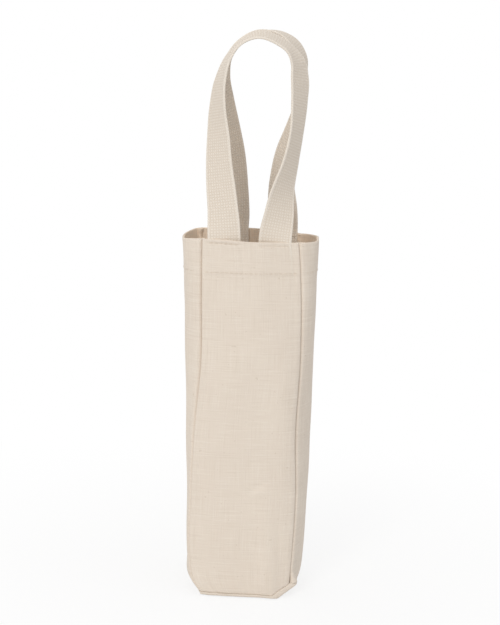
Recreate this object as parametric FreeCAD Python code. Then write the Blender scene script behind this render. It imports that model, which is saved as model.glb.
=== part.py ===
"""Canvas carrier for one bottle: a tall sewn bag with two webbing handles.

The bag stands open on its base. Z points up, the front faces -Y, and the origin is on the
floor in the middle of the base. Five canvas pieces make the bag: front, back, two gussets
and a base. Each is a sheet with its own turned hem and seam allowances. Two webbing straps
are sewn inside the hem by their ends, and their free loops lean together over the mouth.
"""

import FreeCAD
import Part
import math
import os

Vector = FreeCAD.Vector

# Cloth and webbing, in millimetres
canvas_thickness = 0.7
webbing_thickness = 1.6
webbing_width = 25.4
layer_gap = 0.1  # air between two layers that are sewn flat on each other

# Bag body, in millimetres: widths and depths are taken straight from seam to seam
bag_height = 276.0
panel_width = 75.0
rim_depth = 71.0
base_depth = 73.0
panel_bulge_rim = 5.0
panel_bulge_base = 6.0
gusset_bulge_rim = 13.0
gusset_bulge_base = 8.0

# Sewing, in millimetres
hem_depth = 25.0
seam_allowance = 9.0
base_allowance = 8.0
base_roll = 2.6  # outer radius of the edge where the base turns up to the walls

# Handles, in millimetres: the rise is from the rim to the top of a loop
strap_inset = 4.3  # from a side seam to the nearest edge of a sewn strap
handle_rise = 152.0
arch_half_width = 30.5
arch_shift = 6.0  # the loops stand a little to the right
shoulder_inset = 2.5  # from a loop's widest place to its shoulder
handle_gap = 1.0  # between the two loops where they lean together
fold_gap = 0.3  # between a sewn end and its loop, at the fold over the rim
twist_length = 105.0  # a leg makes its quarter turn over this length of strap

# Shape of a loop, as shares: heights are shares of the rise
bow_height = 0.5
shoulder_height = 0.82
upright_height = 0.9  # above this the loops no longer lean
left_bow = 1.0  # how far from its foot to the loop's side a leg has moved at the bow
right_bow = 0.5

# How finely curved things are divided: a loop's spans are faces, each drawn through some sections
span_count = 8
sections_per_span = 4
wall_spans = 4
roll_steps = 4

# Levels up the bag that the layers of cloth start and stop at
base_lip = base_roll + canvas_thickness + layer_gap
seam_from = base_lip + base_allowance
hem_from = bag_height - hem_depth

# Depths in from the outer face of a wall
double_cloth = 2 * canvas_thickness
flange_outer = double_cloth + layer_gap
flange_inner = flange_outer + canvas_thickness
strap_outer = double_cloth + layer_gap
strap_inner = strap_outer + webbing_thickness
hem_fold = 0.5 * canvas_thickness  # bevel of the folded rim

# Places along a panel, from its middle
seam_at = panel_width / 2
turned_to = seam_at - seam_allowance
leg_at = seam_at - strap_inset - webbing_width / 2

# For each wall: the way that it faces, and the way along it, anticlockwise seen from above
WALLS = {
    "front": (Vector(0, -1, 0), Vector(1, 0, 0)),
    "right": (Vector(1, 0, 0), Vector(0, 1, 0)),
    "back": (Vector(0, 1, 0), Vector(-1, 0, 0)),
    "left": (Vector(-1, 0, 0), Vector(0, -1, 0)),
}


def between(low, high, share):
    return low + (high - low) * share


def ease(share):
    """Smooth step from 0 to 1."""
    share = min(1.0, max(0.0, share))
    return share * share * (3 - 2 * share)


def wall_sizes(wall, z):
    """Half the seam-to-seam width, distance of the seams from the axis, and bulge at height z."""
    share = z / bag_height
    half_depth = between(base_depth, rim_depth, share) / 2
    if wall in ("front", "back"):
        return seam_at, half_depth, between(panel_bulge_base, panel_bulge_rim, share)
    return half_depth, seam_at, between(gusset_bulge_base, gusset_bulge_rim, share)


def wall_circle(wall, depth, z):
    """Centre and radius of the arc that a wall follows at height z, depth in from its outer face."""
    half, offset, bulge = wall_sizes(wall, z)
    radius = (half * half + bulge * bulge) / (2 * bulge)
    return WALLS[wall][0] * (offset + bulge - radius) + Vector(0, 0, z), radius - depth


def wall_point(wall, along, depth, z):
    """The point of a wall at height z: along from its middle, and depth in from its outer face."""
    centre, radius = wall_circle(wall, depth, z)
    angle = math.asin(along / (radius + depth))
    out_way, along_way = WALLS[wall]
    return centre + out_way * (radius * math.cos(angle)) + along_way * (radius * math.sin(angle))


def arc(circle, start, stop):
    """The shorter arc of a circle between two points on it."""
    centre, radius = circle
    middle = centre + (start + stop - centre * 2).normalize() * radius
    return Part.Arc(start, middle, stop).toShape()


def closed_line(points, circles):
    """A closed line through points. Where a point has a circle, the line to the next one follows it."""
    edges = []
    for start, stop, circle in zip(points, points[1:] + points[:1], circles):
        edges.append(arc(circle, start, stop) if circle else Part.makeLine(start, stop))
    return Part.Wire(edges)


def wall_line(wall, z, corners):
    """A closed line at height z through corners along and in from a wall, curved as the wall is."""
    points = [wall_point(wall, along, depth, z) for along, depth in corners]
    circles = []
    for (_, depth), (_, next_depth) in zip(corners, corners[1:] + corners[:1]):
        circles.append(wall_circle(wall, depth, z) if depth == next_depth else None)
    return closed_line(points, circles)


def band(half, outer, inner):
    """Corners of a plain strip of cloth, as wide as half to each side and between two depths."""
    return [(-half, outer), (half, outer), (half, inner), (-half, inner)]


def loft(lines):
    """A solid drawn straight from each closed line to the next."""
    return Part.makeLoft(lines, True, True)


def stacked(stages):
    """One solid from stages that stand on each other, each drawn through closed lines."""
    solids = [loft(lines) for lines in stages]
    return solids[0].fuse(solids[1:]).removeSplitter()


def wall_levels():
    """Levels from the top of the base allowance to the bottom of the hem."""
    return [between(seam_from, hem_from, n / wall_spans) for n in range(wall_spans + 1)]


def panel(wall):
    """Front or back: a plain skin, then edges turned in along the seams, then the turned hem."""
    skin = band(seam_at, 0, canvas_thickness)
    turned_edges = [
        (-seam_at, 0),
        (seam_at, 0),
        (seam_at, double_cloth),
        (turned_to, double_cloth),
        (turned_to, canvas_thickness),
        (-turned_to, canvas_thickness),
        (-turned_to, double_cloth),
        (-seam_at, double_cloth),
    ]
    hem = band(seam_at, 0, double_cloth)
    rim = band(seam_at, hem_fold, double_cloth - hem_fold)
    return stacked(
        [
            [wall_line(wall, z, skin) for z in (base_lip, seam_from)],
            [wall_line(wall, z, turned_edges) for z in wall_levels()],
            [wall_line(wall, z, hem) for z in (hem_from, bag_height - hem_fold)]
            + [wall_line(wall, bag_height, rim)],
        ]
    )


def across_bag(point):
    """The same point on the other side of the bag, from front to back."""
    return Vector(point.x, -point.y, point.z)


def line_meets_circle(start, way, circle):
    """Where a line, going along a level way of length 1, crosses a circle nearest to its start."""
    centre, radius = circle
    offset = start - centre
    along = offset.dot(way)
    reach = math.sqrt(along * along - offset.dot(offset) + radius * radius)
    return start + way * min(-along - reach, reach - along, key=abs)


def gusset_end(depth, z):
    """The corner of the right gusset, at a depth, where it meets the front panel's folded edge."""
    start = wall_point("front", seam_at + layer_gap, 0, z)
    way = (wall_point("front", seam_at + layer_gap, canvas_thickness, z) - start).normalize()
    return line_meets_circle(start, way, wall_circle("right", depth, z))


def gusset_line(outer, inner, front_points, front_circles):
    """The right gusset's closed line: its points at the front, and the same again at the back."""
    points = front_points + [across_bag(point) for point in reversed(front_points)]
    back_circles = [c and (across_bag(c[0]), c[1]) for c in reversed(front_circles)]
    return closed_line(points, [*front_circles, inner, *back_circles, outer])


def plain_gusset_line(outer, inner, z):
    """The right gusset at height z as a plain strip between two depths."""
    circles = [wall_circle("right", depth, z) for depth in (outer, inner)]
    return gusset_line(*circles, [gusset_end(outer, z), gusset_end(inner, z)], [None])


def circles_meet(circle, other, near):
    """The crossing of two level circles that lies nearest to a point."""
    (centre, radius), (other_centre, other_radius) = circle, other
    way = other_centre - centre
    apart = way.Length
    along = (apart * apart + radius * radius - other_radius * other_radius) / (2 * apart)
    rise = math.sqrt(radius * radius - along * along)
    way = way.normalize()
    side = Vector(-way.y, way.x, 0)
    crossings = [centre + way * along + side * rise, centre + way * along - side * rise]
    return min(crossings, key=lambda point: (point - near).Length)


def flanged_gusset_line(z):
    """The right gusset at height z, with a flange under each panel's turned edge."""
    outer, inner = wall_circle("right", 0, z), wall_circle("right", canvas_thickness, z)
    under, over = wall_circle("front", flange_outer, z), wall_circle("front", flange_inner, z)
    bend = wall_point("front", seam_at + layer_gap, flange_outer, z)
    points = [
        gusset_end(0, z),
        bend,
        wall_point("front", turned_to, flange_outer, z),
        wall_point("front", turned_to, flange_inner, z),
        circles_meet(over, inner, bend),
    ]
    return gusset_line(outer, inner, points, [None, under, None, over])


def right_gusset():
    """A side: a plain skin, then flanges that go under the panels' edges, then the turned hem."""
    return stacked(
        [
            [plain_gusset_line(0, canvas_thickness, z) for z in (base_lip, seam_from)],
            [flanged_gusset_line(z) for z in wall_levels()],
            [plain_gusset_line(0, double_cloth, z) for z in (hem_from, bag_height - hem_fold)]
            + [plain_gusset_line(hem_fold, double_cloth - hem_fold, bag_height)],
        ]
    )


def bag_outline(inset, z):
    """The closed outer line of the bag at height z, moved in by inset."""
    circles = {wall: wall_circle(wall, inset, z) for wall in WALLS}
    seam = wall_point("front", seam_at, 0, z)
    corner = circles_meet(circles["front"], circles["right"], seam)
    corners = [Vector(-corner.x, corner.y, z), corner, across_bag(corner), Vector(-corner.x, -corner.y, z)]
    return closed_line(corners, list(circles.values()))


def rolled(radius, to_inset):
    """Insets and levels round the edge of the base, from the floor up to an inset."""
    last_angle = math.asin((base_roll - to_inset) / radius)
    angles = [last_angle * n / roll_steps for n in range(roll_steps + 1)]
    return [(base_roll - radius * math.sin(a), base_roll - radius * math.cos(a)) for a in angles]


def base_panel():
    """The base: a floor with its edge rolled up to the walls, and an allowance inside them."""
    outer = canvas_thickness + layer_gap
    inner = outer + canvas_thickness
    lower = rolled(base_roll, 0) + [(0, base_lip)]
    upper = [(outer, base_lip), (outer, seam_from - layer_gap)]
    hollow = rolled(base_roll - canvas_thickness, inner) + [(inner, seam_from)]
    solid = stacked([[bag_outline(*level) for level in stage] for stage in (lower, upper)])
    return solid.cut(loft([bag_outline(*level) for level in hollow]))


def strap_end(wall, side):
    """The sewn end of a handle, flat on the hem inside the bag. side is -1 or 1 along the wall."""
    near, far = side * leg_at - webbing_width / 2, side * leg_at + webbing_width / 2
    corners = [(near, strap_outer), (far, strap_outer), (far, strap_inner), (near, strap_inner)]
    return loft([wall_line(wall, z, corners) for z in (hem_from, bag_height)])


def loop_line():
    """The middle line of the front handle's free loop, from its left foot to its right one."""
    middle_depth = (strap_outer + strap_inner) / 2
    feet = [wall_point("front", side * leg_at, middle_depth, bag_height) for side in (-1, 1)]
    crown_y = -(handle_gap + webbing_width) / 2
    crown_height = handle_rise - webbing_thickness / 2
    left = arch_shift - arch_half_width
    right = arch_shift + arch_half_width
    stations = [
        (between(feet[0].x, left, left_bow), bow_height),
        (left + shoulder_inset, shoulder_height),
        (arch_shift, 1.0),
        (right - shoulder_inset, shoulder_height),
        (between(feet[1].x, right, right_bow), bow_height),
    ]
    points = []
    for x, share in stations:
        y = between(feet[0].y, crown_y, min(1.0, share / upright_height))
        points.append(Vector(x, y, bag_height + share * crown_height))
    lift = Vector(0, 0, fold_gap)
    line = Part.BSplineCurve()
    line.interpolate(
        Points=[feet[0] + lift, *points, feet[1] + lift],
        InitialTangent=Vector(0, 0, 1),
        FinalTangent=Vector(0, 0, -1),
    )
    return line


def foot_turn():
    """How far a sewn end is turned about Z, because the panel behind it is curved."""
    near = wall_point("front", leg_at - webbing_width / 2, strap_outer, bag_height)
    far = wall_point("front", leg_at + webbing_width / 2, strap_outer, bag_height)
    return math.atan2(far.y - near.y, far.x - near.x)


def strap_section(line, run):
    """The four corners of the strap after a run along its middle line, in order round it."""
    back_way = Vector(0, 1, 0)
    place = line.parameterAtDistance(run, line.FirstParameter)
    middle = line.value(place)
    way = line.tangent(place)[0]
    edge_way = (back_way - way * back_way.dot(way)).normalize()
    face_way = way.cross(edge_way)
    from_foot = min(run, line.length() - run)
    turned = between(foot_turn(), math.pi / 2, ease(from_foot / twist_length))
    wide = face_way * math.cos(turned) + edge_way * math.sin(turned)
    thick = way.cross(wide) * (webbing_thickness / 2)
    wide = wide * (webbing_width / 2)
    return [middle + wide + thick, middle - wide + thick, middle - wide - thick, middle + wide - thick]


def handle_loop():
    """The front handle's free loop: flat on the hem at its feet, edge forward over the top."""
    line = loop_line()
    steps = span_count * sections_per_span
    sections = [strap_section(line, line.length() * n / steps) for n in range(steps + 1)]
    places = [float(n) for n in range(steps + 1)]
    edge_lines = []
    for corner in range(4):
        edge_line = Part.BSplineCurve()
        edge_line.interpolate(Points=[s[corner] for s in sections], Parameters=places)
        edge_lines.append(edge_line)
    faces = []
    for span in range(span_count):
        start, stop = places[span * sections_per_span], places[(span + 1) * sections_per_span]
        edges = [e.toShape(start, stop) for e in edge_lines]
        faces += [Part.makeRuledSurface(edges[k - 1], edges[k]) for k in range(4)]
    for end in (sections[0], sections[-1]):
        faces.append(Part.Face(Part.makePolygon([*end, end[0]])))
    skin = Part.Shell(faces)
    skin.sewShape()
    solid = Part.Solid(skin)
    if solid.Volume < 0:
        solid.reverse()
    return solid


def mirrored(shape, way):
    """The shape's mirror image across the middle of the bag, along a way."""
    return shape.mirror(Vector(0, 0, 0), way)


def main():
    right = right_gusset()
    front_loop = handle_loop()
    pieces = {
        "front_panel": panel("front"),
        "back_panel": panel("back"),
        "left_gusset": mirrored(right, Vector(1, 0, 0)),
        "right_gusset": right,
        "base_panel": base_panel(),
        "front_handle_left_end": strap_end("front", -1),
        "front_handle_right_end": strap_end("front", 1),
        "back_handle_left_end": strap_end("back", 1),
        "back_handle_right_end": strap_end("back", -1),
        "front_handle": front_loop,
        "back_handle": mirrored(front_loop, Vector(0, 1, 0)),
    }
    os.makedirs("parts", exist_ok=True)
    for name, shape in pieces.items():
        shape.exportStep(f"parts/{name}.step")
        print(f"{name}: {len(shape.Solids)} solid, {shape.Volume / 1000:.2f} cm3, valid {shape.isValid()}")


main()
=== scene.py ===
"""The looks of a canvas carrier for one bottle: sewn cloth, webbing handles, thread and light.

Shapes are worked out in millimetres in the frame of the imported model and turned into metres
when a mesh is made. The bag is drawn as it stands in the photograph: a little racked, with its
mouth open and the corners of its base drawn up.
"""

import math
from collections import namedtuple

import bmesh
import bpy
import numpy as np
from mathutils import Euler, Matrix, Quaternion, Vector


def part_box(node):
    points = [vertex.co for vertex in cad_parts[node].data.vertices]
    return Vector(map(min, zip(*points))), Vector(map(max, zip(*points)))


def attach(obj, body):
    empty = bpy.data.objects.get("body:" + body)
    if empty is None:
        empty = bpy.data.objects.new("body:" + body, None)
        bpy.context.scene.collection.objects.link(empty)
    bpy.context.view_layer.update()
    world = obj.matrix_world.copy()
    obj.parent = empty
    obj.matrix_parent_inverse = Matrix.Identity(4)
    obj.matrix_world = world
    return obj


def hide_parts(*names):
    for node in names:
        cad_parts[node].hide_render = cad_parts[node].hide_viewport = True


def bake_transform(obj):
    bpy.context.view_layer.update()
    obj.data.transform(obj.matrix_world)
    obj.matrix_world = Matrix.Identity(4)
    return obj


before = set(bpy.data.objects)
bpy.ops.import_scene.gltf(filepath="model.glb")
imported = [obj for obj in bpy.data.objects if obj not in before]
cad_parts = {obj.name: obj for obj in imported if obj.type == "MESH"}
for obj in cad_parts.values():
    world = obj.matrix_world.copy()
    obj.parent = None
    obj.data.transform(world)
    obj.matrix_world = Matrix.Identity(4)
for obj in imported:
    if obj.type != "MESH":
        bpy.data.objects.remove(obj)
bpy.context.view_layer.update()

MM = 0.001


def node_box(node):
    """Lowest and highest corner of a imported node, in millimetres."""
    low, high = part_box(node)
    return np.array(low) / MM, np.array(high) / MM


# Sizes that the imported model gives
panel_high = node_box("front_panel")[1]
RIM = panel_high[2]
SEAM_AT = panel_high[0]
HEM_DEPTH = RIM - node_box("front_handle_right_end")[0][2]
HEM_FROM = RIM - HEM_DEPTH
LOOP_TOP = node_box("front_handle")[1][2]

# Cloth and sewing
CANVAS = 0.8
WEB_WIDTH = 24.6  # an inch of webbing, drawn in a little
WEB_THICKNESS = 1.6
WEB_PITCH = 2.0  # from one weft of the webbing to the next
SELVEDGE = 2.2  # breadth of the plump edges of the webbing
SELVEDGE_SWELL = 0.16
SCALLOP = 0.05  # how far the wefts stand out along its edges
WEB_CORE = 0.3  # half the thickness of a strap's core, which the plump edges leave as it is
SEAM_ALLOWANCE = 9.0
SEAM_ROLL = 1.75  # over this breadth the cloth turns in to a seam
SEAM_SINK = 4.6  # and by this much in the sides' seams
HEM_SINK = 4.0  # or within the hem
BASE_SINK = 0.9  # or in the base's seam
BASE_LIP = 2.8  # height of the base's seam over the floor, with the base pressed flat
STITCH = 3.1
STITCH_GAP = 0.55
THREAD = 0.21  # radius
HEM_ROW = HEM_FROM + 1.6
STRAP_ROW = 2.8  # under the rim
ROW_BREADTH = 0.8  # of the groove that a row of stitches makes
HEM_STEP = 0.18  # the hem's inner layer lifts the cloth by this much
HEM_PULL = 0.06  # its row of stitches draws the cloth in by this much
HEM_HOLE_PULL = 0.08  # and by this much more at each hole
HEM_STEP_AT = (HEM_ROW - 2.6, HEM_ROW - 0.2)  # heights over which the hem's step rises
STRAP_STEP = 0.35  # the same for a strap end under the cloth
STRAP_PULL = 0.35
STRAP_HOLE_PULL = 0.45
STRAP_STEP_AT = (HEM_ROW - 2.1, HEM_ROW + 0.4)
STRAP_EDGE = (WEB_WIDTH / 2 - 0.6, WEB_WIDTH / 2 + 1.4)  # off its middle, where its step ends
STRAP_GAP = 0.25  # between a strap end and the hem
HEM_HOLD = (HEM_FROM - 4, HEM_FROM + 2)  # heights over which a side seam takes on the hem's sink
RIM_HOLD = (RIM - 5, RIM - 1)  # and over which each seam comes to its full sink
LAYER_EDGE = 0.4  # half the breadth over which a second layer of cloth begins
ROLL_EASE = 0.8  # beyond the roll, the inner face comes back over this breadth

# The shape of a stitch, in radii of its thread
STITCH_RISE = 1.5  # it arches up by this much
STITCH_DIP = 0.6  # and starts this deep in its holes
STITCH_ENDS = 0.55  # its own radius at its ends
STITCH_SWELL = 0.45  # and what its middle has more

# Rows of stitches
THREAD_LIFT = 0.05  # of a stitch over the cloth
ROW_MARGIN = 1.2  # a row stops this far from the side seams
STRAP_ROW_MARGIN = 1.0  # and the row on a strap end this far from the strap's sides
STRAP_CLEAR = 0.8  # stitches of the hem's row this near to a strap end go over it

# The meshes of the walls, the base and the straps
FOLD_POINTS = 6  # round the folded rim
FOLD_WEAVE = (0.3, 2.0)  # the weave runs on over the rim by this much
GIRTH_LEVELS = 24  # heights at which a wall's curved width is measured
FACE_POINTS = 46  # across a strap's face
BEND_POINTS = 6  # and round its edge
STRAP_SPACING = 0.5  # of points along a strap
LINE_POINTS = 4000  # along a strap's middle line, before they are spaced evenly
BASE_INNER = 0.965  # the base's upper face, as a share of its lower one
BASE_EDGE = 0.7  # from the base's rolled edge up to its seam
EXTRA_LIFT = 0.2  # inside a lifted corner the base rises by this share more
LIP_INSETS = (1.5, 0.9, 0.45, 0.15)  # of the base's rolled edge from its seam, and its drops
LIP_DROPS = (0.0, 0.02, 0.12, 0.35)
WALL_WEAVE = 40.0  # sets the weave of each wall apart from the next one's
BASE_WEAVE = (0, 0, 200)

# Heights of a wall's extra points, about the hem's row and under the rim
SEWN_HEIGHTS = np.concatenate([HEM_ROW + np.arange(-2.4, 2.5, 0.4), RIM - np.arange(1.2, 5.2, 0.4)])

# How the bag stands. Levels go up from the floor, and values belong to them in order: X of the
# four side seams, their distance from the middle in Y, and how far out the walls come.
LEVELS = (0.0, 12.0, 28.0, 80.0, 125.0, 190.0, 235.0, 262.0, RIM)
FRONT_LEFT_X = (-32.2, -39.4, -42.6, -42.6, -41.2, -36.3, -36.7, -36.8, -36.8)
FRONT_RIGHT_X = (34.4, 35.6, 36.6, 38.7, 37.4, 39.6, 38.8, 37.0, 35.8)
BACK_LEFT_X = (-33.0, -38.1, -39.9, -38.8, -38.4, -37.4, -39.2, -40.8, -41.8)
BACK_RIGHT_X = (35.9, 37.1, 37.9, 39.7, 38.3, 39.9, 39.9, 39.7, 39.6)
SEAM_Y = (37.0, 36.2, 35.0, 34.0, 34.2, 35.3, 35.5, 35.5, 35.5)
FRONT_RIGHT_Y = (37.6, 36.6, 35.0, 31.8, 30.6, 31.2, 33.2, 34.4, 35.0)
BACK_LEFT_Y = (38.0, 38.5, 38.7, 38.3, 37.8, 36.0, 35.5, 35.5, 35.5)
LEFT_REACH = (34.2, 43.9, 44.9, 45.4, 47.0, 48.7, 49.8, 50.7, 51.9)
RIGHT_REACH = (40.6, 44.3, 46.2, 48.5, 49.4, 50.6, 51.1, 51.6, 52.0)
FRONT_SWELL = (4.3, 4.8, 5.6, 7.2, 7.6, 6.6, 4.6, 3.7, 3.4)
BACK_SWELL = (4.5, 4.6, 4.8, 5.0, 4.8, 4.4, 3.6, 2.8, 2.4)

# Along each wall, from 0 to 1: where it is fullest, and how squarely it leaves its two seams
FULLEST = {"front": 0.5, "right": 0.5, "back": 0.5, "left": 0.72}
FULLNESS = {"front": (2.0, 6.0), "right": (2.6, 2.4), "back": (2.0, 2.0), "left": (2.4, 2.2)}
RIM_FULLNESS = {"front": (2.0, 2.0), "right": (5.0, 3.4), "back": (2.0, 2.0), "left": (2.6, 3.0)}
RIM_SHAPE = (150.0, RIM - 8)  # between these heights a wall takes on its fullness at the rim

# The rim's height over its mean at five places along each wall
RIM_LINE = {
    "front": (1.5, 1.2, 0.25, 0.1, -0.4),
    "right": (-0.4, -0.5, -0.7, -1.5, -2.2),
    "back": (-2.2, -0.2, 0.9, 0.9, 0.7),
    "left": (0.7, -0.3, -1.0, -0.3, 1.5),
}

# The base's corners: how high their seam is, and over what length of wall it climbs there
CORNER_LIFT = {"front_left": 2.9, "front_right": 10.6, "back_right": 9.0, "back_left": 5.0}
LIFT_LENGTH = {"front": 13.0, "right": 48.0, "back": 13.0, "left": 13.0}
EAR = 4.0  # the front right corner of the base pokes out by this much
EAR_OFF = 3.0  # at this distance from its seam
EAR_HEIGHT = 5.0
BASE_TUCK = 0.25  # a wall draws in by this much at its base seam
BASE_TUCK_HEIGHT = 7.0

# Sewing: the part of its full sink that each side seam has, and the ridges of the allowances
SEAM_DEPTH = {"front_left": 1.0, "front_right": 0.55, "back_right": 0.8, "back_left": 0.8}
ALLOWANCE_RIDGE = {"front": 0.36, "right": 0.3, "back": 0.36, "left": 0.2}
RIDGE_EDGE = (3.8, 5.6)  # distance from the seam over which a ridge ends
STRAP_FEET = {"front": (-20.0, 18.7), "back": (-25.8, 13.2)}  # from the wall's middle

# Each wall runs from one seam to the next, anticlockwise seen from above
WALLS = {
    "front": ("front_left", "front_right"),
    "right": ("front_right", "back_right"),
    "back": ("back_right", "back_left"),
    "left": ("back_left", "front_left"),
}

# Soft marks that handling has left in the cloth: "along" is from a wall's middle, "lean" in degrees
Mark = namedtuple("Mark", "wall along height length breadth lean depth")
MARKS = (
    Mark("front", along=5.0, height=250.0, length=48.0, breadth=17.0, lean=99.0, depth=2.0),
    Mark("front", along=21.0, height=8.0, length=55.0, breadth=8.0, lean=92.0, depth=2.6),
    Mark("front", along=30.0, height=34.0, length=26.0, breadth=4.5, lean=98.0, depth=-0.9),
    Mark("front", along=10.0, height=88.0, length=9.0, breadth=3.0, lean=32.0, depth=-0.5),
    Mark("front", along=12.0, height=84.0, length=9.0, breadth=3.0, lean=30.0, depth=0.4),
    Mark("front", along=-27.0, height=10.0, length=11.0, breadth=3.0, lean=128.0, depth=-0.9),
    Mark("front", along=-31.0, height=10.0, length=11.0, breadth=3.0, lean=128.0, depth=0.7),
    Mark("front", along=-22.0, height=60.0, length=40.0, breadth=10.0, lean=92.0, depth=0.5),
    Mark("front", along=3.0, height=215.0, length=30.0, breadth=9.0, lean=86.0, depth=0.4),
    Mark("front", along=16.0, height=232.0, length=22.0, breadth=8.0, lean=84.0, depth=-0.4),
    Mark("right", along=-12.0, height=205.0, length=45.0, breadth=7.0, lean=88.0, depth=-0.6),
    Mark("right", along=8.0, height=120.0, length=50.0, breadth=8.0, lean=92.0, depth=0.4),
    Mark("right", along=-16.0, height=50.0, length=35.0, breadth=6.0, lean=95.0, depth=-0.6),
    Mark("left", along=14.0, height=190.0, length=45.0, breadth=8.0, lean=92.0, depth=-0.4),
    Mark("left", along=-6.0, height=110.0, length=50.0, breadth=9.0, lean=88.0, depth=0.4),
    Mark("left", along=18.0, height=45.0, length=30.0, breadth=6.0, lean=84.0, depth=-0.4),
    Mark("back", along=-14.0, height=150.0, length=45.0, breadth=9.0, lean=95.0, depth=-0.9),
    Mark("back", along=18.0, height=95.0, length=40.0, breadth=8.0, lean=84.0, depth=0.8),
    Mark("back", along=8.0, height=40.0, length=26.0, breadth=5.0, lean=75.0, depth=-0.8),
)

CALM_SHARE = 1 / 6  # marks fade out over this share of a wall, next to its seams

# The gentle unevenness of the cloth
Ripple = namedtuple("Ripple", "depth across upward shift")
RIPPLES = (
    Ripple(depth=0.2, across=5.3, upward=17.0, shift=1.7),
    Ripple(depth=0.14, across=8.1, upward=-11.0, shift=3.4),
)

# A handle's middle line, station by station: along X, height over the rim, turn in degrees
FRONT_LOOP = {
    "across": (
        -21.4, -23.2, -25.0, -25.9, -27.0, -25.4, -20.0, -11.4, 2.3,
        17.3, 26.9, 32.4, 33.7, 33.7, 32.0, 28.0, 22.4, 20.4,
    ),
    "height": (
        22.5, 38.6, 56.9, 75.6, 95.9, 117.0, 133.3, 144.6, 151.4,
        147.0, 140.0, 130.9, 120.0, 103.5, 80.4, 58.1, 35.5, 20.4,
    ),
    "turn": (
        20.5, 27.5, 38.0, 47.0, 60.5, 72.0, 81.0, 85.0, 78.0,
        77.0, 75.0, 64.5, 58.0, 60.5, 65.0, 60.0, 42.5, 25.0,
    ),
}
BACK_LOOP = {
    "across": (
        -13.2, -14.4, -15.6, -18.2, -21.2, -22.7, -20.4, -12.6, 2.8, 20.3,
        30.0, 35.0, 36.1, 35.7, 35.2, 31.2, 25.4, 23.2, 24.2,
    ),
    "height": (
        13.0, 38.0, 60.1, 79.8, 100.9, 118.8, 131.2, 143.8, 153.2, 151.7,
        144.4, 133.6, 122.3, 110.5, 97.5, 80.4, 60.5, 38.8, 17.5,
    ),
    "turn": (
        16.0, 25.0, 39.5, 51.0, 63.0, 73.0, 81.0, 82.5, 86.0, 96.5,
        106.5, 112.8, 109.0, 92.0, 75.0, 64.0, 54.4, 42.0, 20.0,
    ),
}
FOOT_HEIGHTS = (HEM_FROM + 0.3, RIM - HEM_DEPTH / 2, RIM)  # stations of a sewn strap end
FOOT_LEVEL = RIM - 8  # a strap end faces as the wall does at this height
LOOP_LEAN_TO = 13.3  # the loops' middle lines come this near to the middle of the bag
LEAN_HEIGHT = 0.9  # and reach that at this share of their rise
BEND_FROM = -1.0  # two points that handle_piece works out for each handle lie at these heights over the rim
BEND_TO = 12.0

# Tones of the cloth and thread
CANVAS_DEEP = (0.75, 0.662, 0.57, 1)
CANVAS_PALE = (0.775, 0.69, 0.595, 1)
# painted light: the inner faces are paler and warmer, standing in for light that comes through the canvas
# and bounces about inside the bag
CANVAS_INSIDE_PAINTED_LIGHT = (0.95, 0.79, 0.63, 1)
SLUB = (0.82, 0.745, 0.655, 1)
THIN_YARN = (0.68, 0.59, 0.495, 1)
# painted shade between the canvas yarns
YARN_GAP_PAINTED_SHADE = (0.63, 0.545, 0.455, 1)
SEED_FLECK = (0.42, 0.32, 0.22, 1)
WEBBING_DEEP = (0.75, 0.678, 0.592, 1)
WEBBING_PALE = (0.795, 0.728, 0.645, 1)
# painted shade in the gaps between the webbing's grains
WEBBING_GAP_PAINTED_SHADE = (0.688, 0.604, 0.51, 1)
THREAD_PALE = (0.76, 0.67, 0.57, 1)
THREAD_DEEP = (0.62, 0.53, 0.43, 1)

# Yarns and grains, in millimetres from one to the next
CANVAS_YARN = 0.56
WEBBING_COLUMN = 2.12
WEBBING_ROW = 2.08

# The studio and the camera, in metres and degrees
LAMP_AIM = (0, 0, 0.2)
WHITE = (1, 1, 1, 1)
ROOM_LIGHT = 0.58  # strength of the room's light, which to the camera is plain white
FLOOR_TONE = (0.9, 0.9, 0.9, 1)
FLOOR_HALF = 3.0
FLOOR_DROP = 0.0004  # keeps the floor clear of the base
FLOOR_WHITE = 0.8  # to the camera, the floor near the bag is white by this share
FLOOR_FAR = 0.26  # and about this far off it becomes white altogether
FLOOR_FADE = 0.2
CAMERA_PLACE = (-0.0064, -1.1951, 0.4368)
CAMERA_LENS = 90.8
LOOK_DOWN = 10.47
LOOK_RIGHT = 0.33
CAMERA_TILT = 1.22


def smooth_through(places, values):
    """A smooth line through values at places, as a function of the place."""
    places = np.asarray(places, float)
    values = np.asarray(values, float)
    slopes = np.gradient(values, places, axis=0)
    columns = (...,) + (None,) * (values.ndim - 1)

    def at(place):
        place = np.clip(place, places[0], places[-1])
        k = np.clip(np.searchsorted(places, place, side="right") - 1, 0, len(places) - 2)
        span = (places[k + 1] - places[k])[columns]
        t = ((place - places[k]) / (places[k + 1] - places[k]))[columns]
        start = values[k]
        rise = values[k + 1] - start
        first = slopes[k] * span
        last = slopes[k + 1] * span
        return start + first * t + (3 * rise - 2 * first - last) * t**2 + (first + last - 2 * rise) * t**3

    return at


def step(low, high, x):
    """Smooth step from 0 at low to 1 at high."""
    t = np.clip((x - low) / (high - low), 0, 1)
    return t * t * (3 - 2 * t)


def hump(x, width):
    """A soft bump of height 1."""
    return np.exp(-((x / width) ** 2))


SEAM_LINES = {
    "front_left": smooth_through(LEVELS, np.stack([FRONT_LEFT_X, np.negative(SEAM_Y)], axis=1)),
    "front_right": smooth_through(LEVELS, np.stack([FRONT_RIGHT_X, np.negative(FRONT_RIGHT_Y)], axis=1)),
    "back_right": smooth_through(LEVELS, np.stack([BACK_RIGHT_X, SEAM_Y], axis=1)),
    "back_left": smooth_through(LEVELS, np.stack([BACK_LEFT_X, BACK_LEFT_Y], axis=1)),
}
REACH = {"left": smooth_through(LEVELS, LEFT_REACH), "right": smooth_through(LEVELS, RIGHT_REACH)}
SWELL = {"front": smooth_through(LEVELS, FRONT_SWELL), "back": smooth_through(LEVELS, BACK_SWELL)}


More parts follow.
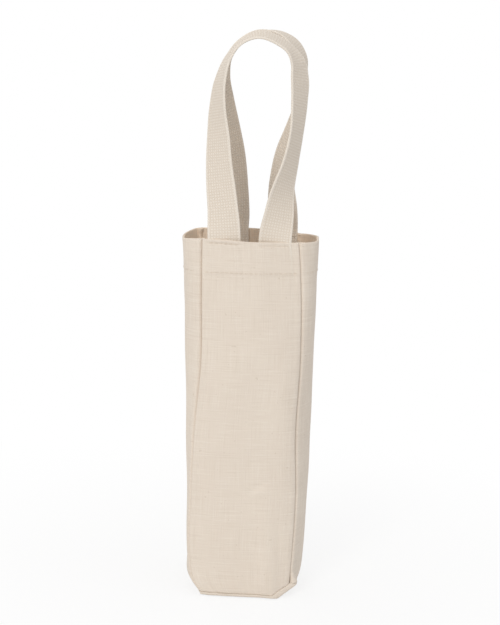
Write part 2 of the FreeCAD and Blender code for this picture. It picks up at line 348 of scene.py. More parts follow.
def wall_chord(wall, z):
    """Start, run and outward way of the straight line between a wall's seams at height z."""
    start, stop = (SEAM_LINES[seam](z) for seam in WALLS[wall])
    run = stop - start
    out = np.stack([run[..., 1], -run[..., 0]], axis=-1)
    return start, run, out / np.linalg.norm(out, axis=-1, keepdims=True)


def wall_width(wall, z):
    """Straight distance between a wall's seams."""
    return np.linalg.norm(wall_chord(wall, z)[1], axis=-1)


def wall_swell(wall, z):
    """How far a wall stands out of its chord at its fullest."""
    if wall in SWELL:
        return SWELL[wall](z)
    start, run, _ = wall_chord(wall, z)
    return REACH[wall](z) - np.abs(start[..., 0] + run[..., 0] * FULLEST[wall])


def fullness(wall, share, z):
    """Part of its swell that a wall has at a share of its way: none at its seams."""
    peak = FULLEST[wall]
    near_rim = step(*RIM_SHAPE, z)
    first, last = (low + (high - low) * near_rim for low, high in zip(FULLNESS[wall], RIM_FULLNESS[wall]))
    before = np.clip(1 - share / peak, 0, 1)
    after = np.clip((share - peak) / (1 - peak), 0, 1)
    return 1 - before**first - after**last


def seam_height(wall, share):
    """Height of the base seam under a wall: it climbs at the corners."""
    width = wall_width(wall, np.float64(BASE_LIP))
    height = BASE_LIP
    for seam, distance in zip(WALLS[wall], (share * width, (1 - share) * width)):
        near = np.clip(1 - distance / LIFT_LENGTH[wall], 0, 1)
        height = height + (CORNER_LIFT[seam] - BASE_LIP) * near
    return height


def rim_height(wall, share):
    """Height of a wall's rim: the mouth stands a little askew."""
    return RIM + smooth_through(np.linspace(0, 1, 5), RIM_LINE[wall])(share)


def soft_marks(wall, along, z):
    """Dents and ridges that the cloth has taken from handling, and its gentle unevenness."""
    push = 0.0
    for mark in MARKS:
        if mark.wall == wall:
            cosine = math.cos(math.radians(mark.lean))
            sine = math.sin(math.radians(mark.lean))
            forward = (along - mark.along) * cosine + (z - mark.height) * sine
            sideways = (z - mark.height) * cosine - (along - mark.along) * sine
            push = push + mark.depth * hump(forward, mark.length) * hump(sideways, mark.breadth)
    order = list(WALLS).index(wall)
    for ripple in RIPPLES:
        wave = along / ripple.across + z / ripple.upward + ripple.shift * order
        push = push + ripple.depth * np.sin(wave)
    return push


def soft_skin(wall, share, z):
    """Points of a wall's outer face without its fine sewing, as drawn by its seams and swell."""
    share, z = np.broadcast_arrays(np.asarray(share, float), np.asarray(z, float))
    start, run, out = wall_chord(wall, z)
    width = np.linalg.norm(run, axis=-1)
    swell = wall_swell(wall, z) * fullness(wall, share, z)
    calm = np.clip(np.minimum(share, 1 - share) / CALM_SHARE, 0, 1)
    push = swell + calm * soft_marks(wall, (share - 0.5) * width, z)
    above = np.clip(z - seam_height(wall, share), 0, None)
    push = push - BASE_TUCK * np.clip(1 - above / BASE_TUCK_HEIGHT, 0, 1) ** 2
    if wall == "right":
        off = share * width / EAR_OFF
        push = push + EAR * off * np.exp(1 - off) * hump(above, EAR_HEIGHT)
    flat = start + run * share[..., None] + out * push[..., None]
    return np.concatenate([flat, z[..., None]], axis=-1)


def skin_normal(wall, share, z):
    """Outward way of a wall's soft skin."""
    d_share = 0.004
    d_z = 0.4
    share = np.clip(share, d_share, 1 - d_share)
    across = soft_skin(wall, share + d_share, z) - soft_skin(wall, share - d_share, z)
    upward = soft_skin(wall, share, z + d_z) - soft_skin(wall, share, z - d_z)
    normal = np.cross(across, upward)
    return normal / np.linalg.norm(normal, axis=-1, keepdims=True)


def rolled_in(distance):
    """Share by which cloth has turned in at a distance from a seam."""
    t = np.clip(1 - distance / SEAM_ROLL, 0, 1)
    return 1 - np.sqrt(1 - t * t)


def side_sink(wall, share, z):
    """How deep the nearer seam of a wall lies at height z: less where the hem holds it flat."""
    sink = SEAM_SINK + (HEM_SINK - SEAM_SINK) * step(*HEM_HOLD, z)
    first, last = (SEAM_DEPTH[seam] for seam in WALLS[wall])
    depth = np.where(share < 0.5, first, last)
    return sink * (depth + (1 - depth) * step(*RIM_HOLD, z))


def strap_places(wall):
    """Middle of each sewn strap end along a wall, from the wall's middle."""
    return STRAP_FEET.get(wall, ())


def sewn_relief(wall, share, z):
    """Fine height of a wall over its soft skin: seams, hem, stitch rows and what lies beneath."""
    width = wall_width(wall, z)
    along = (share - 0.5) * width
    edge = np.minimum(share, 1 - share) * width
    above = np.clip(z - seam_height(wall, share), 0, None)
    relief = -np.maximum(side_sink(wall, share, z) * rolled_in(edge), BASE_SINK * rolled_in(above))
    relief = relief + ALLOWANCE_RIDGE[wall] * (1 - step(*RIDGE_EDGE, edge))
    relief = relief + HEM_STEP * step(*HEM_STEP_AT, z)
    holes = (0.5 + 0.5 * np.cos(2 * math.pi * along / (STITCH + STITCH_GAP))) ** 3
    relief = relief - (HEM_PULL + HEM_HOLE_PULL * holes) * hump(z - HEM_ROW, ROW_BREADTH)
    for place in strap_places(wall):
        inside = 1 - step(*STRAP_EDGE, np.abs(along - place))
        over = step(*STRAP_STEP_AT, z)
        off_row = rim_height(wall, share) - STRAP_ROW - z
        row = (STRAP_PULL + STRAP_HOLE_PULL * holes) * hump(off_row, ROW_BREADTH)
        relief = relief + inside * (STRAP_STEP * over - row)
    return relief


def outer_face(wall, share, z):
    """Points of a wall's outer face, with its sewing."""
    share, z = np.broadcast_arrays(np.asarray(share, float), np.asarray(z, float))
    return soft_skin(wall, share, z) + skin_normal(wall, share, z) * sewn_relief(wall, share, z)[..., None]


def cloth_depth(wall, share, z):
    """Thickness of all the layers of a wall: one, or two in the hem and on the seam allowances."""
    edge = np.minimum(share, 1 - share) * wall_width(wall, z)
    in_hem = step(HEM_FROM - LAYER_EDGE, HEM_FROM + LAYER_EDGE, z)
    on_allowance = 1 - step(SEAM_ALLOWANCE - LAYER_EDGE, SEAM_ALLOWANCE + LAYER_EDGE, edge)
    layers = CANVAS * (1 + np.maximum(in_hem, on_allowance))
    stood_up = 1 - step(SEAM_ROLL, SEAM_ROLL + ROLL_EASE, edge)
    turned_up = 1 - step(SEAM_ROLL, SEAM_ROLL + ROLL_EASE, z - seam_height(wall, share))
    inward = np.maximum((side_sink(wall, share, z) - CANVAS) * stood_up, BASE_SINK * turned_up)
    return layers + inward


def inner_face(wall, share, z):
    """Points of a wall's inner face, under all its layers."""
    share, z = np.broadcast_arrays(np.asarray(share, float), np.asarray(z, float))
    depth = cloth_depth(wall, share, z)
    return soft_skin(wall, share, z) - skin_normal(wall, share, z) * depth[..., None]


def grid_quads(rows, columns, ring=False):
    """Quads of a grid of points. In a ring, the last row joins the first."""
    count = rows if ring else rows - 1
    r = np.arange(count)[:, None]
    c = np.arange(columns - 1)[None, :]
    a = r * columns + c
    b = (r + 1) % rows * columns + c
    return np.stack([a, a + 1, b + 1, b], axis=-1).reshape(-1, 4)


def strip_quads(first, second):
    """Quads between two lines of point numbers."""
    return np.stack([first[:-1], first[1:], second[1:], second[:-1]], axis=-1)


def make_mesh(name, points, quads, weave=None, inside=None):
    """A smooth mesh object from points in millimetres, with its cloth's own coordinates."""
    mesh = bpy.data.meshes.new(name)
    mesh.from_pydata((np.asarray(points).reshape(-1, 3) * MM).tolist(), [], np.asarray(quads).tolist())
    if weave is not None:
        attribute = mesh.attributes.new("weave", "FLOAT_VECTOR", "POINT")
        attribute.data.foreach_set("vector", np.asarray(weave, np.float32).ravel())
    if inside is not None:
        attribute = mesh.attributes.new("inside", "FLOAT", "POINT")
        attribute.data.foreach_set("value", np.asarray(inside, np.float32).ravel())
    tidy = bmesh.new()
    tidy.from_mesh(mesh)
    bmesh.ops.recalc_face_normals(tidy, faces=tidy.faces)
    tidy.to_mesh(mesh)
    tidy.free()
    mesh.shade_smooth()
    piece = bpy.data.objects.new(name, mesh)
    bpy.context.scene.collection.objects.link(piece)
    return piece


def spaced(fine, coarse, length, fine_length):
    """Places from 0 to 1 along a length, close together near both ends."""
    near = np.arange(0, fine_length, fine)
    middle = np.linspace(fine_length, length - fine_length, int((length - 2 * fine_length) / coarse) + 2)
    return np.concatenate([near, middle, length - near[::-1]]) / length


def wall_piece(wall, node):
    """One canvas wall as a closed sheet: outer face, folded rim, inner face."""
    width = float(wall_width(wall, np.float64(RIM)))
    shares = spaced(fine=0.2, coarse=0.8, length=width, fine_length=2.0)
    climbs = spaced(fine=0.25, coarse=1.2, length=RIM, fine_length=2.0)
    climbs = np.unique(np.concatenate([climbs, SEWN_HEIGHTS / RIM]))
    low = seam_height(wall, shares)[None, :]
    top = rim_height(wall, shares)[None, :] - CANVAS
    z = low + (top - low) * climbs[:, None]
    share = np.broadcast_to(shares, z.shape)
    outer = outer_face(wall, share, z)
    inner = inner_face(wall, share, z)
    middle = (outer[-1] + inner[-1]) / 2
    half = (outer[-1] - inner[-1]) / 2
    turns = np.linspace(0, math.pi, FOLD_POINTS + 2)[1:-1, None, None]
    rise = np.minimum(np.linalg.norm(half, axis=-1, keepdims=True), CANVAS) * (0, 0, 1)
    folded = middle + half * np.cos(turns) + rise * np.sin(turns)
    points = np.concatenate([outer, folded, inner[::-1]])
    rows, columns = points.shape[:2]
    quads = [grid_quads(rows, columns, ring=True)]
    for side in (0, columns - 1):
        edge = np.arange(rows) * columns + side
        quads.append(strip_quads(edge[: rows // 2], edge[: rows // 2 - 1 : -1]))
    along = np.broadcast_to((shares - 0.5) * width, (rows, columns))
    over_rim = z[-1:] + np.linspace(*FOLD_WEAVE, len(folded))[:, None]
    height = np.concatenate([z, over_rim, z[::-1]])
    layer = np.full((rows, columns), WALL_WEAVE * list(WALLS).index(wall))
    # 0 on the outer face, rising over the fold to 1 on the inner face: where the canvas finish puts its
    # painted light
    inside = np.repeat(step(len(outer), len(outer) + len(folded), np.arange(rows)), columns)
    weave = np.stack([along, height, layer], axis=-1)
    piece = make_mesh(f"{node}_cloth", points, np.concatenate(quads), weave, inside)
    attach(piece, "bag")
    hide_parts(node)
    skin = soft_skin(wall, shares[None, :], np.linspace(BASE_LIP, RIM, GIRTH_LEVELS)[:, None])
    girth = np.linalg.norm(np.diff(skin, axis=1), axis=-1).sum(axis=1).mean()
    cut = (girth + 2 * SEAM_ALLOWANCE, RIM + HEM_DEPTH + SEAM_ALLOWANCE)
    cut[0] * MM
    cut[1] * MM
    return piece


def base_patch(edges, shares):
    """A square net of points between the four bottom edges of the walls."""
    front, right, back, left = edges
    back = back[::-1]
    left = left[::-1]
    u = shares[None, :, None]
    v = shares[:, None, None]
    sides = (1 - v) * front + v * back + (1 - u) * left[:, None] + u * right[:, None]
    near = (1 - u) * front[0] + u * front[-1]
    far = (1 - u) * back[0] + u * back[-1]
    return sides - (1 - v) * near - v * far


def base_piece():
    """The base: a soft cloth that lies on the floor and climbs to its seam at the corners."""
    width = 2 * SEAM_AT
    shares = spaced(fine=0.2, coarse=1.3, length=width, fine_length=3.4)
    count = len(shares)
    edges = [soft_skin(wall, shares, seam_height(wall, shares)) for wall in WALLS]
    seam = np.concatenate([edge[:-1] for edge in edges])
    centre = seam.mean(axis=0) * (1, 1, 0)
    lip = []
    for inset, drop in zip(LIP_INSETS, LIP_DROPS):
        share = inset / np.linalg.norm(seam - centre, axis=1, keepdims=True)
        lip.append(seam + (centre - seam) * share * (1, 1, 0) - (0, 0, drop))
    net = base_patch(edges, shares)
    inset = np.minimum(shares, 1 - shares) * width
    inset = np.minimum(inset[None, :], inset[:, None])
    lifted = np.clip(net[..., 2] - BASE_LIP, 0, None)
    t = np.clip(1 - inset / BASE_LIP, 0, 1)
    raised = EXTRA_LIFT * lifted
    net[..., 2] = lifted + raised + (BASE_LIP - BASE_EDGE - raised) * (1 - np.sqrt(1 - t * t))
    upper = centre + (net - centre) * (BASE_INNER, BASE_INNER, 1) + (0, 0, CANVAS)
    index = np.arange(count * count).reshape(count, count)
    loop = np.concatenate([index[0, :-1], index[:-1, -1], index[-1, :0:-1], index[:0:-1, 0]])
    around = len(loop)
    rings = [loop]
    rings += [2 * count * count + n * around + np.arange(around) for n in range(len(lip))][::-1]
    rings += [count * count + loop]
    quads = [grid_quads(count, count), grid_quads(count, count) + count * count]
    rings = [np.append(ring, ring[0]) for ring in rings]
    for lower, higher in zip(rings[:-1], rings[1:]):
        quads.append(strip_quads(lower, higher))
    points = np.concatenate([net.reshape(-1, 3), upper.reshape(-1, 3), *lip])
    # the base's upper face, where the canvas finish puts its painted light
    inside = np.arange(len(points)) // (count * count) == 1
    piece = make_mesh("base_panel_cloth", points, np.concatenate(quads), points + BASE_WEAVE, inside)
    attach(piece, "bag")
    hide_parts("base_panel")
    side = (width + 2 * SEAM_ALLOWANCE) * MM
    return piece


def handle_line(wall, loop):
    """Rows of a handle's middle line and turn, from one sewn end over the loop to the other."""
    side = 1 if wall == "front" else -1
    feet = []
    for place in strap_places(wall)[::side]:
        width = wall_width(wall, np.float64(RIM))
        share = np.float64(0.5 + place / width)
        ways = skin_normal(wall, share, np.float64(FOOT_LEVEL))
        skin = soft_skin(wall, share, FOOT_HEIGHTS)
        sunk = skin - ways * (2 * CANVAS + WEB_THICKNESS / 2 + STRAP_GAP)
        feet.append(sunk * (1, side, 1))
    across, height, turn = (np.array(loop[key]) for key in ("across", "height", "turn"))
    lean = np.minimum(height / (LOOP_TOP - RIM) / LEAN_HEIGHT, 1)
    foot_y = np.linspace(feet[0][-1, 1], feet[1][-1, 1], len(lean))
    y = foot_y + (-LOOP_LEAN_TO - foot_y) * lean
    free = np.column_stack([across, y, RIM + height])
    stations = np.concatenate([feet[0], free, feet[1][::-1]])
    untwisted = np.zeros(len(FOOT_HEIGHTS))
    turns = np.concatenate([untwisted, np.radians(turn), untwisted])
    lengths = np.concatenate([[0], np.cumsum(np.linalg.norm(np.diff(stations, axis=0), axis=1))])
    line = smooth_through(lengths, np.column_stack([stations, turns]))
    dense = line(np.linspace(0, lengths[-1], LINE_POINTS))
    run = np.concatenate([[0], np.cumsum(np.linalg.norm(np.diff(dense[:, :3], axis=0), axis=1))])
    even = np.linspace(0, run[-1], int(run[-1] / STRAP_SPACING))
    return np.column_stack([np.interp(even, run, column) for column in dense.T]), even, side


def strap_outline():
    """Points round a strap's section: across its width and through its thickness."""
    radius = WEB_THICKNESS / 2
    face = np.linspace(-1, 1, FACE_POINTS) * (WEB_WIDTH / 2 - radius)
    bends = np.radians(np.linspace(-90, 90, BEND_POINTS + 2)[1:-1])
    bulge = WEB_WIDTH / 2 - radius + radius * np.cos(bends)
    across = np.concatenate([face, bulge, face[::-1], -bulge])
    flat = np.full(FACE_POINTS, radius)
    depth = np.concatenate([-flat, radius * np.sin(bends), flat, -radius * np.sin(bends)])
    return across, depth


def handle_piece(wall, loop, nodes):
    """A webbing strap, sewn flat inside the hem at both ends and turned on edge over its loop."""
    rows, run, side = handle_line(wall, loop)
    middle = rows[:, :3]
    turn = rows[:, 3:]
    way = np.gradient(middle, run, axis=0)
    way /= np.linalg.norm(way, axis=1, keepdims=True)
    back = np.array([0.0, 1.0, 0.0])
    edge_way = back - way * (way @ back)[:, None]
    edge_way /= np.linalg.norm(edge_way, axis=1, keepdims=True)
    wide = np.cross(way, edge_way) * np.cos(turn) + edge_way * np.sin(turn)
    thick = np.cross(way, wide)
    across, depth = strap_outline()
    across = across[:, None]
    depth = depth[:, None]
    on_edge = np.clip((np.abs(across) - WEB_WIDTH / 2 + SELVEDGE) / SELVEDGE, 0, 1)
    scallop = SCALLOP * on_edge * np.sin(2 * math.pi * run / WEB_PITCH)
    plump = 1 + SELVEDGE_SWELL * on_edge * (np.abs(depth) > WEB_CORE)
    breadth = across + np.sign(across) * scallop
    points = middle + wide * breadth[..., None] + thick * (depth * plump)[..., None]
    points = points * (1, side, 1)
    columns, count = points.shape[:2]
    quads = [grid_quads(columns, count, ring=True)]
    flank = np.arange(-BEND_POINTS // 2, FACE_POINTS + BEND_POINTS // 2)
    facing = 2 * FACE_POINTS + BEND_POINTS - 1 - flank
    for end in (0, count - 1):
        quads.append(strip_quads(flank % columns * count + end, facing % columns * count + end))
    weave = np.stack(np.broadcast_arrays(across, run, np.sign(depth)), axis=-1)
    piece = make_mesh(f"{wall}_handle_webbing", points, np.concatenate(quads), weave)
    y = points[:, 0, 1].mean()
    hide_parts(*nodes)
    bend_from = (0, y * MM, (RIM + BEND_FROM) * MM)
    bend_to = (0, y * MM, (RIM + BEND_TO) * MM)
    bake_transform(piece)
    return piece


def stitch_row(places, normals):
    """Points and quads of stitches along a row of places on cloth, one to each pair of places."""
    sides = 6
    rings = 5
    points = []
    quads = []
    shares = np.linspace(0, 1, rings)
    for k in range(0, len(places) - 1, 2):
        start = places[k]
        stop = places[k + 1]
        up = normals[k]
        way = stop - start
        way = way / np.linalg.norm(way)
        side = np.cross(way, up)
        for share in shares:
            arch = math.sin(math.pi * share)
            lift = THREAD * (STITCH_RISE * arch - STITCH_DIP)
            thin = THREAD * (STITCH_ENDS + STITCH_SWELL * arch**0.5)
            centre = start + (stop - start) * share + up * lift
            angles = np.arange(sides) * 2 * math.pi / sides
            points.append(centre + thin * (np.cos(angles)[:, None] * side + np.sin(angles)[:, None] * up))
        first = (k // 2) * rings * sides
        for ring in range(rings - 1):
            for s in range(sides):
                a = first + ring * sides + s
                b = first + ring * sides + (s + 1) % sides
                quads.append((a, b, b + sides, a + sides))
        # Two quads close the six sides at each end
        for end in (first, first + (rings - 1) * sides):
            quads.append((end, end + 1, end + 2, end + 3))
            quads.append((end, end + 3, end + 4, end + 5))
    return np.concatenate(points), np.array(quads)


def stitch_places(length):
    """Starts and ends of stitches over a length, from 0."""
    count = int(length / (STITCH + STITCH_GAP))
    start = (length - count * (STITCH + STITCH_GAP) + STITCH_GAP) / 2
    starts = start + np.arange(count) * (STITCH + STITCH_GAP)
    return np.stack([starts, starts + STITCH], axis=1).ravel()


def stitching(name, rows):
    """All stitches of several rows as one piece."""
    points = []
    quads = []
    count = 0
    for places, normals in rows:
        row_points, row_quads = stitch_row(places, normals)
        points.append(row_points)
        quads.append(row_quads + count)
        count += len(row_points)
    piece = make_mesh(name, np.concatenate(points), np.concatenate(quads))
    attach(piece, "bag")
    return piece


def hem_rows():
    """The row that holds the hem, seen on the outside and on the inside of each wall."""
    rows = []
    z = HEM_ROW
    for wall in WALLS:
        width = float(wall_width(wall, np.float64(z)))
        along = stitch_places(width - 2 * ROW_MARGIN) + ROW_MARGIN
        share = along / width
        normal = skin_normal(wall, share, z)
        rows.append((outer_face(wall, share, z) + normal * THREAD_LIFT, normal))
        covered = np.zeros(len(share), bool)
        for place in strap_places(wall):
            covered |= np.abs(along - width / 2 - place) < WEB_WIDTH / 2 + STRAP_CLEAR
        depth = 2 * CANVAS + np.where(covered, WEB_THICKNESS + STRAP_GAP + THREAD_LIFT, THREAD_LIFT)
        rows.append((soft_skin(wall, share, z) - normal * depth[:, None], -normal))
    return rows


def strap_rows():
    """The short row under the rim that holds each strap end, outside and inside."""
    rows = []
    for wall in WALLS:
        width = float(wall_width(wall, np.float64(RIM)))
        for place in strap_places(wall):
            start = width / 2 + place - WEB_WIDTH / 2 + STRAP_ROW_MARGIN
            along = start + stitch_places(WEB_WIDTH - 2 * STRAP_ROW_MARGIN)
            share = along / width
            z = rim_height(wall, share) - STRAP_ROW
            normal = skin_normal(wall, share, z)
            rows.append((outer_face(wall, share, z) + normal * THREAD_LIFT, normal))
            depth = 2 * CANVAS + WEB_THICKNESS + STRAP_GAP + THREAD_LIFT
            rows.append((soft_skin(wall, share, z) - normal * depth, -normal))
    return rows


class Value:
    """A node's output that takes part in sums. Each sum adds a Math node to the tree."""

    def __init__(self, nodes, socket):
        self.nodes = nodes
        self.socket = socket

    def math(self, operation, *values):
        """The result of a Math node."""
        inputs = dict(enumerate(values))
        return self.nodes.node("ShaderNodeMath", {"operation": operation}, inputs)

    def __add__(self, other):
        return self.math("ADD", self, other)

    def __sub__(self, other):
        return self.math("SUBTRACT", self, other)

    def __rsub__(self, other):
        return self.math("SUBTRACT", other, self)

    def __mul__(self, other):
        return self.math("MULTIPLY", self, other)

    def sine(self):
        return self.math("SINE", self)

    def above(self, limit, softness):
        """0 under a limit and 1 over it, with a soft edge."""
        settings = {"interpolation_type": "SMOOTHSTEP"}
        inputs = {"Value": self, "From Min": limit - softness, "From Max": limit + softness}
        return self.nodes.node("ShaderNodeMapRange", settings, inputs)


class Nodes:
    """A node tree in the making. All its nodes come from one method."""

    def __init__(self, tree):
        self.tree = tree

    def node(self, kind, settings=None, inputs=None, output=0):
        """One output of a new node."""
        node = self.tree.nodes.new(kind)
        for key, value in (settings or {}).items():
            setattr(node, key, value)
        for key, value in (inputs or {}).items():
            self.feed(node.inputs[key], value)
        return Value(self, node.outputs[output])

    def feed(self, socket, value):
        """Link a socket to another node's output, or give it a plain value."""
        if isinstance(value, Value):
            self.tree.links.new(value.socket, socket)
        else:
            socket.default_value = value

    def watched(self):
        """1 for what the camera sees, straight on or in a gloss or through glass, and else 0."""
        seen = self.node("ShaderNodeLightPath", output="Is Camera Ray")
        shiny = self.node("ShaderNodeLightPath", output="Is Glossy Ray")
        clear = self.node("ShaderNodeLightPath", output="Is Transmission Ray")
        return seen.math("MAXIMUM", seen, shiny.math("MAXIMUM", shiny, clear))


class Finish(Nodes):
    """A material in the making: a plain shader whose sockets the finish's nodes feed."""

    def __init__(self, name, **constants):
        self.material = bpy.data.materials.new(name)
        self.material.use_nodes = True
        super().__init__(self.material.node_tree)
        self.shader = self.tree.nodes["Principled BSDF"]
        for socket, value in constants.items():
            self.shader.inputs[socket.replace("_", " ")].default_value = value

    def set(self, **links):
        """Feed the shader's sockets. The material is then ready."""
        for socket, value in links.items():
            self.feed(self.shader.inputs[socket.replace("_", " ")], value)
        return self.material

    def weave(self):
        """The cloth's own coordinates, in millimetres: across, along, and which layer."""
        vector = self.node("ShaderNodeAttribute", {"attribute_name": "weave"}, output="Vector")
        return [self.node("ShaderNodeSeparateXYZ", inputs={0: vector}, output=k) for k in range(3)]

    def noise(self, x, y, z, scale=1.0, detail=2.0):
        """Soft noise between 0 and 1."""
        vector = self.node("ShaderNodeCombineXYZ", inputs={0: x, 1: y, 2: z})
        return self.node("ShaderNodeTexNoise", inputs={"Vector": vector, "Scale": scale, "Detail": detail})

    def mix(self, factor, first, second):
        """The first colour at factor 0, the second at 1."""
        settings = {"data_type": "RGBA"}
        return self.node("ShaderNodeMix", settings, {0: factor, 6: first, 7: second}, output=2)

    def bump(self, height, distance, strength):
        """Fine relief, with its distance in metres."""
        inputs = {"Height": height, "Distance": distance, "Strength": strength}
        return self.node("ShaderNodeBump", inputs=inputs)


def canvas_finish():
    """Natural cotton canvas: a plain weave with slubs, seed flecks and slight shifts of tone, with painted
    shade between its yarns and painted light that makes its inner faces paler and warmer.
    """
    finish = Finish("natural_canvas", Roughness=0.92, Sheen_Weight=0.1, Specular_IOR_Level=0.25)
    across, along, layer = finish.weave()
    wobble = finish.noise(across, along, layer, scale=0.35, detail=3.0)
    warp = across * (math.pi / CANVAS_YARN) + wobble * 5.0
    weft = along * (math.pi / CANVAS_YARN) + wobble * 4.0
    crossing = warp.sine() * weft.sine()
    weft_slub = finish.noise(across * 0.045, along * 1.15, layer)
    warp_slub = finish.noise(across * 1.2, along * 0.035, layer + 7.0)
    slub = weft_slub.above(0.62, softness=0.1) * 0.6 + warp_slub.above(0.62, softness=0.1) * 0.45
    weft_thin = (1 - weft_slub).above(0.64, softness=0.1)
    warp_thin = (1 - warp_slub).above(0.64, softness=0.1)
    thin = weft_thin * 0.5 + warp_thin * 0.4
    cloud = finish.noise(across * 0.02, along * 0.02, layer)
    seeds = finish.noise(across, along, layer + 3.0, scale=0.5, detail=0.0)
    fleck = seeds.above(0.85, softness=0.02)
    plain = finish.mix(cloud.above(0.5, softness=0.22), CANVAS_DEEP, CANVAS_PALE)
    inside = finish.node("ShaderNodeAttribute", {"attribute_name": "inside"}, output="Fac")
    # painted light: the inner faces take a paler, warmer tone in place of light through the cloth and
    # light bounced inside the bag
    plain = finish.mix(inside, plain, CANVAS_INSIDE_PAINTED_LIGHT)
    toned = finish.mix(slub, plain, SLUB)
    toned = finish.mix(thin, toned, THIN_YARN)
    # painted shade: a tenth to a fifth of a darker tone, following the weave's crossings, stands in for
    # shade between the yarns
    toned = finish.mix(crossing * 0.1 + 0.1, toned, YARN_GAP_PAINTED_SHADE)
    toned = finish.mix(fleck * 0.22, toned, SEED_FLECK)
    height = crossing * 0.4 + slub * 0.8 - thin * 0.4
    return finish.set(Base_Color=toned, Normal=finish.bump(height, distance=0.00012, strength=0.8))


def webbing_finish():
    """Heavy cotton webbing: plump grains with smaller ones between them, and painted shade in the gaps
    between the grains.
    """
    finish = Finish("cotton_webbing", Roughness=0.9, Sheen_Weight=0.1, Specular_IOR_Level=0.25)
    across, along, layer = finish.weave()
    wobble = finish.noise(across, along, layer, scale=0.3)
    column = (across * (2 * math.pi / WEBBING_COLUMN) + wobble * 1.4).sine()
    row = (along * (2 * math.pi / WEBBING_ROW) + wobble * 1.6).sine()
    plump = (column * 0.5 + 0.5) * (row * 0.5 + 0.5)
    between = (0.5 - column * 0.5) * (0.5 - row * 0.5)
    selvedge = across.math("ABSOLUTE", across).above(WEB_WIDTH / 2 - 1.5, softness=0.4)
    grain = plump + between * 0.2 + selvedge * 0.45
    lint = finish.noise(across, along, layer + 5.0, scale=2.2)
    light = finish.mix(lint.above(0.5, softness=0.2), WEBBING_DEEP, WEBBING_PALE)
    # painted shade: where the grain is low, between the plump grains, the tone turns dark; the plain
    # selvedges have none
    tone = finish.mix(grain.above(0.3, softness=0.26), WEBBING_GAP_PAINTED_SHADE, light)
    height = grain + lint * 0.3
    return finish.set(Base_Color=tone, Normal=finish.bump(height, distance=0.0003, strength=0.55))


def thread_finish():
    """Undyed cotton thread, twisted from fine plies."""
    finish = Finish("natural_thread", Roughness=0.8, Sheen_Weight=0.1, Specular_IOR_Level=0.3)
    place = finish.node("ShaderNodeTexCoord", output="Object")
    x, y, z = [finish.node("ShaderNodeSeparateXYZ", inputs={0: place}, output=k) for k in range(3)]
    ply = ((x + y + z * 1.6) * 14000.0).sine() * 0.5 + 0.5
    tone = finish.mix(ply * 0.7, THREAD_PALE, THREAD_DEEP)
    return finish.set(Base_Color=tone, Normal=finish.bump(ply, distance=0.00005, strength=0.6))


def floor_finish():
    """A white sweep: lit plainly near the object, and white to the camera farther off."""
    finish = Finish("white_sweep", Base_Color=FLOOR_TONE, Roughness=0.95)
    place = finish.node("ShaderNodeNewGeometry", output="Position")
    away = finish.node("ShaderNodeVectorMath", {"operation": "LENGTH"}, {0: place}, output="Value")
    far = away.above(FLOOR_FAR, softness=FLOOR_FADE)
    white = finish.node("ShaderNodeEmission", inputs={"Color": WHITE, "Strength": 1.0})
    plain = Value(finish, finish.shader.outputs[0])
    share = finish.watched() * (far * (1 - FLOOR_WHITE) + FLOOR_WHITE)
    mixed = finish.node("ShaderNodeMixShader", inputs={0: share, 1: plain, 2: white})
    finish.tree.links.new(mixed.socket, finish.tree.nodes["Material Output"].inputs["Surface"])
    return finish.material


def dress(piece, material):
    """Give a piece its finish."""
    piece.data.materials.clear()
    piece.data.materials.append(material)


def area_lamp(name, place, size, power, colour):
    """A round, soft lamp that looks at the middle of the bag."""
    lamp = bpy.data.lights.new(name, "AREA")
    lamp.shape = "DISK"
    lamp.size = size
    lamp.energy = power
    lamp.color = colour
    holder = bpy.data.objects.new(name, lamp)
    holder.location = place
    holder.rotation_euler = (Vector(LAMP_AIM) - Vector(place)).to_track_quat("-Z", "Y").to_euler()
    bpy.context.scene.collection.objects.link(holder)


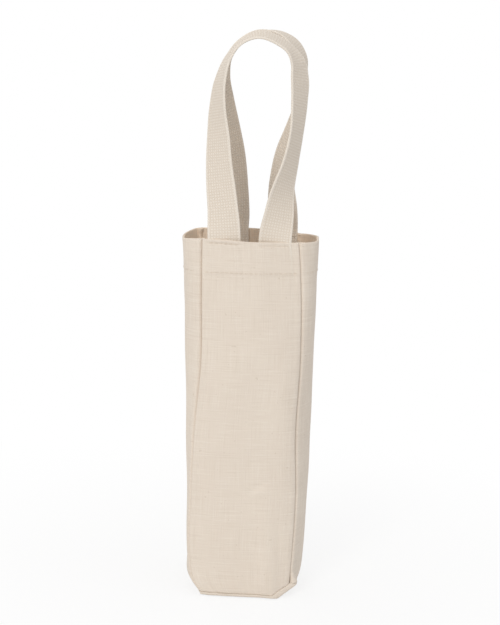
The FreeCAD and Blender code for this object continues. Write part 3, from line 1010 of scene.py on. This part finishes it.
def studio():
    """Soft light from the front left, a weak fill, white surroundings and the floor."""
    area_lamp("key", place=(-1.45, -3.27, 2.0), size=1.4, power=53.0, colour=(1.0, 0.985, 0.965))
    area_lamp("fill", place=(3.2, -1.2, 1.2), size=2.4, power=5.5, colour=(1.0, 0.985, 0.97))
    area_lamp("top", place=(0.1, -0.2, 1.9), size=1.2, power=6.0, colour=(1.0, 1.0, 1.0))
    area_lamp("back", place=(-0.9, 1.7, 0.8), size=1.4, power=6.0, colour=(1.0, 0.99, 0.98))
    world = bpy.data.worlds.new("white_room")
    bpy.context.scene.world = world
    world.use_nodes = True
    background = world.node_tree.nodes["Background"]
    background.inputs["Color"].default_value = WHITE
    room = Nodes(world.node_tree)
    room.feed(background.inputs["Strength"], room.watched() * (1 - ROOM_LIGHT) + ROOM_LIGHT)
    ways = ((-1, -1), (1, -1), (1, 1), (-1, 1))
    corners = [(x * FLOOR_HALF, y * FLOOR_HALF, 0) for x, y in ways]
    mesh = bpy.data.meshes.new("floor")
    mesh.from_pydata(corners, [], [(0, 1, 2, 3)])
    floor = bpy.data.objects.new("floor", mesh)
    floor.location.z = -FLOOR_DROP
    bpy.context.scene.collection.objects.link(floor)
    dress(floor, floor_finish())


def camera():
    """The photograph's viewpoint."""
    lens = bpy.data.cameras.new("camera")
    lens.sensor_width = 36.0
    lens.lens = CAMERA_LENS
    holder = bpy.data.objects.new("camera", lens)
    holder.location = CAMERA_PLACE
    holder.rotation_mode = "QUATERNION"
    aim = Euler((math.radians(90 - LOOK_DOWN), 0, math.radians(-LOOK_RIGHT))).to_quaternion()
    holder.rotation_quaternion = aim @ Quaternion((0, 0, 1), math.radians(CAMERA_TILT))
    bpy.context.scene.collection.objects.link(holder)
    bpy.context.scene.camera = holder


canvas = canvas_finish()
webbing = webbing_finish()
thread = thread_finish()

WALL_NODES = {"front": "front_panel", "right": "right_gusset", "back": "back_panel", "left": "left_gusset"}
for wall, node in WALL_NODES.items():
    dress(wall_piece(wall, node), canvas)
dress(base_piece(), canvas)
for wall, loop in (("front", FRONT_LOOP), ("back", BACK_LOOP)):
    nodes = [f"{wall}_handle", f"{wall}_handle_left_end", f"{wall}_handle_right_end"]
    dress(handle_piece(wall, loop, nodes), webbing)
dress(stitching("hem_stitching", hem_rows()), thread)
dress(stitching("strap_stitching", strap_rows()), thread)

studio()
camera()
bpy.context.scene.view_settings.view_transform = "Standard"
